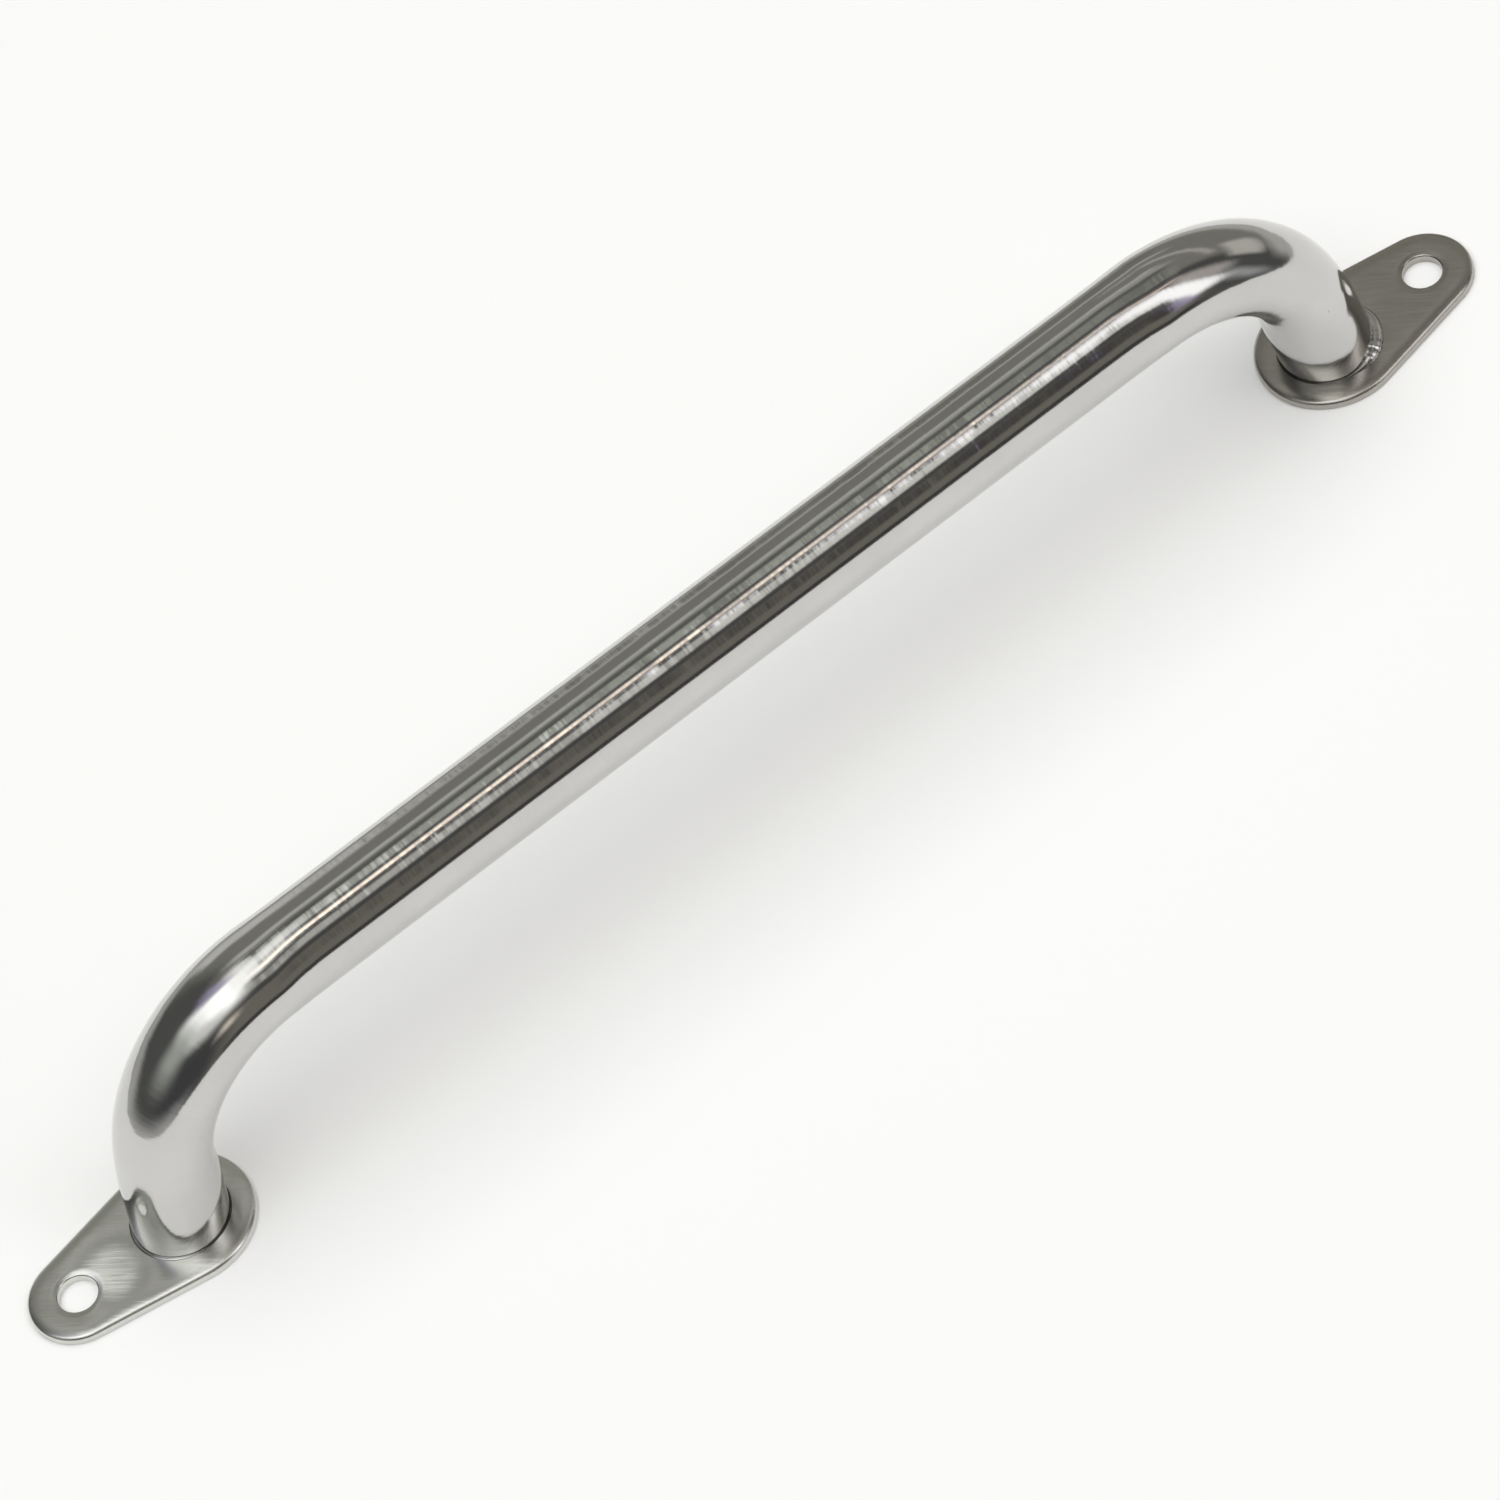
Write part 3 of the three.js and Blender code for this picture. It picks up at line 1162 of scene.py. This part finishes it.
    def _lean(self, tree: GeometryTree, body: object, height: object) -> bpy.types.NodeSocket:
        """Set the bead at its height, leaning as the leg leans, and grind it if asked.

        Args:
            tree: the tree to write into.
            body: the bead, about the origin.
            height: the height to set it at.

        Returns:
            The bead in its place at the foot.
        """
        lean = self.tube.lean
        x, y, z = tree.split(tree.add("GeometryNodeInputPosition").outputs[0])
        z = tree.math("ADD", z, height)
        if self.ground_flush:
            z = tree.math("MAXIMUM", z, 0.0)
        shift = tree.math("MULTIPLY", z, -math.tan(lean))
        x = tree.math("MULTIPLY_ADD", x, 1.0 / math.cos(lean), shift)
        return tree.add("GeometryNodeSetPosition", body, None, tree.join(x, y, z)).outputs[0]

    def dress(self, weld: bpy.types.Object) -> None:
        """Args:
            weld: the finished bead.
        """
        declare(weld, f"{self.end.label}_{self.node_suffix}_weld")


# ---------------------------------------------------------------- studio


class Grid(Enum):
    """The two ways in which a panel's place in the room is given, both in degrees."""

    COMPASS = "compass"  # azimuth, with 0 towards -Y and 90 towards +X; then elevation
    RAIL = "rail"  # turn about the rail, from -Y over the top; then tilt towards +X


@dataclass(frozen=True)
class SoftPanel:
    """A soft-edged panel of the studio, far from the rail, that its polish reflects."""

    name: str
    grid: Grid
    middle: Pair
    half: Pair  # from the middle to the middle of each soft edge
    soft: Pair  # width of the soft edges
    colour: Colour
    opacity: float = 1.0
    folds: float = 0.0  # how strongly it is darkened in folds, as a curtain is


def compass(name: str, middle: Pair, half: Pair, soft: Pair, colour: Colour,
            opacity: float = 1.0) -> SoftPanel:
    """Return a panel that is placed by azimuth and elevation."""
    return SoftPanel(name, Grid.COMPASS, middle, half, soft, colour, opacity)


def strip(name: str, middle: Pair, half: Pair, soft: Pair, colour: Colour,
          opacity: float = 1.0, folds: float = 0.0) -> SoftPanel:
    """Return a panel that runs along with the rail."""
    return SoftPanel(name, Grid.RAIL, middle, half, soft, colour, opacity, folds)


ROOM_PANELS = (
    strip("back_wall", (150, 14), (40, 34), (12, 24), (0.25, 0.25, 0.225)),
    compass("back_left_dark", (-136, 27), (28, 30), (26, 18), (0.1, 0.1, 0.097)),
    compass("right_wall", (118, 28), (31, 36), (14, 16), (0.25, 0.245, 0.22)),
    strip("back_left_light", (168, 2), (12, 10), (10, 8), (0.66, 0.66, 0.64)),
    compass("right_skirting", (122, -6), (42, 7), (24, 9), (0.6, 0.6, 0.58), 0.8),
    compass("back_left_low", (-156, -2), (30, 8), (24, 12), (0.5, 0.5, 0.49), 0.9),
    compass("right_arc", (126, 36), (30, 2.2), (10, 3), (0.5, 0.49, 0.44)),
    compass("right_high", (92, 66), (22, 8), (14, 8), (0.38, 0.37, 0.35)),
    compass("ceiling", (-60, 84), (130, 14), (30, 14), (1.15, 1.15, 1.12)),
    strip("green_band", (93, 13), (9.5, 12), (3, 14), (0.8, 0.85, 0.75), 1, 0.85),
    strip("green_glow", (92, 4), (8, 4), (6, 9), (1.25, 1.27, 1.22), 0.75),
    strip("green_band_right", (94, 22), (10, 11), (3, 14), (0.4, 0.41, 0.37), 1, 0.65),
    strip("gap_over_green_band", (108.5, 14), (2.6, 16), (4, 10), (0.15, 0.15, 0.14)),
    strip("low_line", (120.5, 10), (4.2, 16), (3.5, 12), (0.58, 0.58, 0.55)),
    strip("low_line_right", (117, 22), (3.6, 11), (4, 14), (0.42, 0.42, 0.39)),
    strip("high_line", (153, 20), (2.0, 11), (3, 10), (0.54, 0.54, 0.5)),
    strip("top_right_dark", (168, 18), (9, 8), (8, 6), (0.22, 0.215, 0.195)),
    strip("front_wall", (18, 4), (30, 24), (8, 20), (0.2, 0.188, 0.165)),
    strip("front_right", (27, 23), (10, 11), (8, 15), (0.032, 0.03, 0.028)),
    strip("front_foot", (-3, 8), (4.5, 20), (4, 14), (0.05, 0.05, 0.05)),
    strip("front_upper", (42, 8), (5, 20), (4, 14), (0.08, 0.08, 0.08)),
    strip("long_window", (55.2, 9), (6.2, 16), (4.5, 20), (0.7, 0.69, 0.64), 1, 0.72),
    strip("long_window_right", (54.6, 22), (7.8, 12), (3.5, 14), (1.25, 1.25, 1.2), 1, 0.6),
    strip("gap_over_long_window", (68.2, 21), (3.3, 15), (2.5, 8), (0.06, 0.058, 0.055)),
    strip("gap_over_long_window_left", (65, -2), (2, 8), (3, 8), (0.16, 0.155, 0.15)),
    strip("warm_line", (74, 1), (2.5, 9.5), (1.8, 9), (2.9, 2.4, 1.95)),
    strip("warm_line_right", (74.2, 19), (1.2, 12), (1.4, 10), (1.3, 1.05, 0.85), 0.95),
    strip("gap_under_green_band", (82, 14), (3.5, 18), (3, 10), (0.1, 0.097, 0.097)),
    compass("left_dark", (-48, 12), (28, 18), (24, 20), (0.07, 0.07, 0.073)),
    compass("left_skirting", (-92, -9), (54, 8), (30, 13), (0.5, 0.5, 0.49), 0.9),
    compass("left_softbox", (-62, 67), (46, 20), (30, 20), (1.8, 1.82, 1.8)),
    strip("left_glow", (82, -4), (14, 9), (10, 7), (1.5, 1.5, 1.47), 0.85),
    compass("left_violet", (-122, 68), (16, 10), (18, 14), (0.5, 0.45, 0.66), 0.8),
    compass("left_tall", (-84, 38), (18, 18), (30, 28), (0.58, 0.62, 0.57), 0.75),
    compass("left_low_white", (-50, 45), (18, 8), (24, 16), (0.9, 0.9, 0.88), 0.9),
    compass("left_lamp", (-19, 28), (5, 5), (10, 10), (1.0, 0.92, 0.8), 0.85),
    compass("window", (38, 39), (11, 25), (8, 12), (1.6, 1.58, 1.6)),
    compass("window_violet", (25, 20), (4, 10), (7, 12), (0.48, 0.43, 0.62), 0.8),
    compass("window_halo", (58, 40), (10, 18), (14, 14), (0.62, 0.58, 0.56), 0.8),
    compass("window_tail", (50, 7), (6, 12), (12, 14), (0.52, 0.52, 0.53), 0.8),
    compass("window_blob", (67, 11), (5, 7), (6, 7), (0.1, 0.1, 0.098), 0.9),
    compass("right_patch", (93, 18), (14, 9), (9, 8), (0.66, 0.64, 0.6), 0.9),
)


@dataclass
class Studio:
    """A pale floor, a dim room with soft panels of light, and a lamp."""

    floor_colour: Colour = (0.86, 0.86, 0.855)
    floor_roughness: float = 0.9
    floor_glow: float = 0.05
    glow_colour: Colour = (1.0, 1.0, 0.995)
    lamp_power: float = 31.0  # of the overhead lamp that lights the floor
    lamp_width: float = 3.2
    lamp_height: float = 1.8
    near_floor: float = 0.42  # radius of the floor that the polish reflects
    far_floor: float = 6.0
    room: Colour = (0.09, 0.09, 0.088)
    backdrop: Colour = (0.93, 0.93, 0.93)
    blend_from: float = 0.5  # distance at which the floor starts to pass into the backdrop
    blend_to: float = 2.2
    folds_per_degree: float = 0.6  # of the curtained panels
    fold_detail: float = 2.0
    fold_range: Pair = (0.38, 0.62)  # of their noise, from a fold's depth to its crest
    panels: tuple[SoftPanel, ...] = ROOM_PANELS

    def build(self) -> None:
        """Set up the room, the floor and the way the picture is shown."""
        scene = bpy.context.scene
        scene.view_settings.view_transform = "Standard"
        scene.world = self._world()
        floor = self._floor_material()
        near = linked_object("floor", disc_mesh("floor", 0.0, self.near_floor))
        far = linked_object("floor_far", disc_mesh("floor_far", self.near_floor, self.far_floor))
        far.visible_glossy = False
        for part in (near, far):
            part.data.materials.append(floor)
        self._hang_lamp()
        LOG.info("studio: floor, lamp and %d panels", len(self.panels))

    def _hang_lamp(self) -> None:
        """Hang the wide lamp over the floor; the panels stand in for it in the polish."""
        data = bpy.data.lights.new("overhead", "AREA")
        data.shape = "DISK"
        data.size = self.lamp_width
        data.energy = self.lamp_power
        lamp = bpy.data.objects.new("overhead", data)
        lamp.location = (0.0, 0.0, self.lamp_height)
        lamp.visible_glossy = False
        bpy.context.collection.objects.link(lamp)

    def _floor_material(self) -> bpy.types.Material:
        """Make the floor's matt white paper, which passes into the backdrop far off.

        Returns:
            The material.
        """
        shader = Shader("floor_paper")
        place = shader.add("ShaderNodeTexCoord").outputs["Object"]
        off = shader.add("ShaderNodeVectorMath", place, operation="LENGTH").outputs["Value"]
        paper = shader.ease(off, self.blend_from, self.blend_to, 1.0, 0.0)
        colour = shader.vector("SCALE", self.floor_colour)
        shader.feed(colour.node.inputs["Scale"], paper)
        shader.set("Base Color", colour)
        shader.set("Roughness", self.floor_roughness)
        shader.set("Specular IOR Level", 0.0)
        shader.set("Emission Color", (*self.glow_colour, 1.0))
        far = self.backdrop[0]
        glow = shader.math("MULTIPLY_ADD", paper, self.floor_glow - far, far)
        shader.set("Emission Strength", glow)
        return shader.material

    def _world(self) -> bpy.types.World:
        """Make the room: panels for the polish to reflect, a plain tone for the camera.

        Returns:
            The world.
        """
        world = bpy.data.worlds.new("studio")
        world.use_nodes = True
        tree = NodeTree(world.node_tree)
        tree.tree.nodes.clear()
        ray = tree.add("ShaderNodeTexCoord").outputs["Generated"]
        x, y, z = tree.split(ray)
        front = tree.math("MULTIPLY", y, -1.0)
        azimuth = tree.math("DEGREES", tree.math("ARCTAN2", x, front))
        elevation = tree.math("DEGREES", tree.math("ARCSINE", z))
        turn = tree.math("DEGREES", tree.math("ARCTAN2", z, front))
        tilt = tree.math("DEGREES", tree.math("ARCSINE", x))
        folds = tree.add("ShaderNodeTexNoise", noise_dimensions="1D")
        tree.feed(folds.inputs["W"], tilt)
        folds.inputs["Scale"].default_value = self.folds_per_degree
        folds.inputs["Detail"].default_value = self.fold_detail
        fold = tree.ease(folds.outputs[0], *self.fold_range, 1.0, 0.0)
        places = {Grid.COMPASS: (azimuth, elevation), Grid.RAIL: (turn, tilt)}
        group = soft_panel_group()
        light = tree.add("ShaderNodeRGB").outputs[0]
        light.default_value = (*self.room, 1.0)
        for panel in self.panels:
            node = tree.add("ShaderNodeGroup", node_tree=group)
            node.label = panel.name
            values = (light, *places[panel.grid], *panel.middle, *panel.half, *panel.soft,
                      (*panel.colour, 1.0), panel.opacity,
                      tree.math("MULTIPLY", fold, panel.folds) if panel.folds else 0.0)
            for socket, value in zip(node.inputs, values):
                tree.feed(socket, value)
            light = node.outputs[0]
        lit = tree.add("ShaderNodeBackground", light, 1.0).outputs[0]
        plain = tree.add("ShaderNodeBackground", (*self.backdrop, 1.0), 1.0).outputs[0]
        seen = tree.add("ShaderNodeLightPath").outputs["Is Camera Ray"]
        mixed = tree.add("ShaderNodeMixShader", seen, lit, plain).outputs[0]
        tree.add("ShaderNodeOutputWorld", mixed)
        return world


def soft_panel_group() -> bpy.types.NodeTree:
    """Make the node group that lays one soft panel over the light beneath it.

    Returns:
        The group.
    """
    tree = NodeTree(bpy.data.node_groups.new("soft_panel", "ShaderNodeTree"))
    face = tree.tree.interface
    names = ("Beneath", "Turn", "Rise", "Middle Turn", "Middle Rise", "Half Turn", "Half Rise",
             "Soft Turn", "Soft Rise", "Colour", "Opacity", "Folds")
    for name in names:
        kind = "Color" if name in ("Beneath", "Colour") else "Float"
        face.new_socket(name, in_out="INPUT", socket_type=f"NodeSocket{kind}")
    face.new_socket("Light", in_out="OUTPUT", socket_type="NodeSocketColor")
    came = tree.tree.nodes.new("NodeGroupInput").outputs
    turn = tree.math("SUBTRACT", came["Turn"], came["Middle Turn"])
    turn = tree.math("WRAP", turn, 180.0, -180.0)
    rise = tree.math("SUBTRACT", came["Rise"], came["Middle Rise"])
    cover = came["Opacity"]
    for off, half, soft in ((turn, "Half Turn", "Soft Turn"), (rise, "Half Rise", "Soft Rise")):
        off = tree.math("ABSOLUTE", off)
        rim = tree.math("MULTIPLY", came[soft], 0.5)
        low = tree.math("SUBTRACT", came[half], rim)
        high = tree.math("ADD", came[half], rim)
        cover = tree.math("MULTIPLY", cover, tree.ease(off, low, high, 1.0, 0.0))
    bright = tree.math("SUBTRACT", 1.0, came["Folds"])
    colour = tree.vector("SCALE", came["Colour"])
    tree.feed(colour.node.inputs["Scale"], bright)
    mix = tree.add("ShaderNodeMix", data_type="RGBA")
    for name, value in (("Factor", cover), ("A", came["Beneath"]), ("B", colour)):
        tree.feed(next(s for s in mix.inputs if s.enabled and s.name == name), value)
    result = next(s for s in mix.outputs if s.enabled)
    tree.tree.links.new(result, tree.tree.nodes.new("NodeGroupOutput").inputs[0])
    return tree.tree


def disc_mesh(name: str, inner: float, outer: float, sides: int = 96) -> bpy.types.Mesh:
    """Make a level disc, or a ring where the inner radius isn't zero, at height zero.

    Args:
        name: the mesh's name.
        inner: the inner radius.
        outer: the outer radius.
        sides: how many sides it has.

    Returns:
        The mesh.
    """
    angles = [math.tau * i / sides for i in range(sides)]
    rim = [Vector((outer * math.cos(a), outer * math.sin(a), 0.0)) for a in angles]
    if inner == 0.0:
        return mesh_from(name, rim, faces=[range(sides)])
    hole = [Vector((inner * math.cos(a), inner * math.sin(a), 0.0)) for a in angles]
    quads = [(i + sides, i, (i + 1) % sides, (i + 1) % sides + sides) for i in range(sides)]
    return mesh_from(name, rim + hole, faces=quads)


@dataclass(frozen=True)
class View:
    """The camera: where it stands, what it looks at and how it is rolled."""

    azimuth: float = math.radians(-19.211)
    elevation: float = math.radians(52.275)
    distance: float = 1.736283
    roll: float = math.radians(-21.792)
    target: Triple = (0.001735, 0.008655, 0.0)
    focal_share: float = 7903.541 / 1500  # focal length over the frame's width
    sensor: float = 36.0
    nearest: float = 0.05
    farthest: float = 50.0

    def build(self) -> None:
        """Make the camera and set it as the scene's."""
        data = bpy.data.cameras.new("camera")
        data.sensor_width = self.sensor
        data.lens = self.focal_share * self.sensor
        data.clip_start = self.nearest
        data.clip_end = self.farthest
        camera = bpy.data.objects.new("camera", data)
        bpy.context.collection.objects.link(camera)
        level = math.cos(self.elevation)
        back = Vector((math.sin(self.azimuth) * level, -math.cos(self.azimuth) * level,
                       math.sin(self.elevation)))
        right = (-back).cross(Vector((0.0, 0.0, 1.0))).normalized()
        up = right.cross(-back)
        across = math.cos(self.roll) * right + math.sin(self.roll) * up
        rise = -math.sin(self.roll) * right + math.cos(self.roll) * up
        turn = Matrix((across, rise, back)).transposed().to_4x4()
        camera.matrix_world = Matrix.Translation(Vector(self.target) + back * self.distance) @ turn
        bpy.context.scene.camera = camera


# ---------------------------------------------------------------- main


def lay_marks(piece: bpy.types.Object, heading: float) -> None:
    """Store which way the marks run on a piece, for its finish to read.

    Args:
        piece: the piece.
        heading: the way that the marks run, as an angle from +X about +Z.
    """
    mesh = piece.data
    along = Vector((math.cos(heading), math.sin(heading), 0.0))
    across = Vector((-along.y, along.x, 0.0))
    worked = [(vert.co.dot(across), vert.co.dot(along), vert.co.z) for vert in mesh.vertices]
    for name, rows in (("worked", worked), ("across", [across] * len(worked))):
        layer = mesh.attributes.new(name, "FLOAT_VECTOR", "POINT")
        layer.data.foreach_set("vector", [value for row in rows for value in row])


def main() -> None:
    """Build the rail, the studio and the camera."""
    logging.basicConfig(level=logging.INFO, format="%(name)s: %(message)s")
    tube_finish = PolishedSteel("polished_tube", marks=Marks(calm_from=112 * MM)).material()
    bore_finish = PolishedSteel("tube_bore", tint=(0.42, 0.41, 0.40), roughness=0.42,
                                marks=Marks(wave_slope=0.02, line_slope=0.02)).material()
    # the weld's crease carries painted shade
    weld_finish = PolishedSteel("weld_metal", roughness=0.16, crease_painted_shade=(0.10, 0.095, 0.085),
                                marks=Marks(wave_slope=0.03, line_slope=0.05)).material()
    brushing = Marks(wave_width=6.0 * MM, wave_length=14.0 * MM, wave_slope=0.04,
                     line_width=0.30 * MM, line_length=9.0 * MM, line_slope=0.075,
                     line_stain=0.10, smear=0.10)

    rail = RailTube(tube_finish, bore_finish)
    rail.dress(rail.build())
    for end in End:
        dish = None
        if end is End.LEFT:
            spot = (-rail.foot_x - 18.5 * MM, -1.0 * MM)
            # the left plate's dished patch carries a painted highlight
            dish = Dish(spot, radius=13.5 * MM, tilt=(-0.02, -0.23, 0.0), painted_highlight=0.04)
        # painted reflection: one steel, tinted lighter on the left plate and darker on the right, for
        # the room that each plate reflects
        tint = (0.71, 0.715, 0.68) if end is End.LEFT else (0.465, 0.445, 0.41)
        plate_finish = PolishedSteel(f"{end.label}_flange_satin", tint=tint, roughness=0.24,
                                     marks=brushing, dish=dish).material()
        flange = Flange(end, rail, plate_finish)
        plate = flange.build()
        lay_marks(plate, BRUSHED_HEADING)
        flange.dress(plate)
        lumpy = end is End.RIGHT
        front = Weld(end, rail, weld_finish, "front", bead=0.42 * MM, spread=0.1 * MM,
                     height=flange.thickness - 0.30 * MM, swell=3.2 if lumpy else 0.35,
                     swell_angle=math.radians(-32.0 if lumpy else 20.0),
                     lump=0.55 if lumpy else 0.0, lump_angle=math.radians(-55.0))
        back = Weld(end, rail, weld_finish, "back", bead=1.0 * MM, spread=0.6 * MM,
                    height=0.75 * MM, ground_flush=True)
        for weld in (front, back):
            bead = weld.build()
            lay_marks(bead, BRUSHED_HEADING)
            weld.dress(bead)

    Studio().build()
    View().build()


if __name__ == "__main__":
    main()
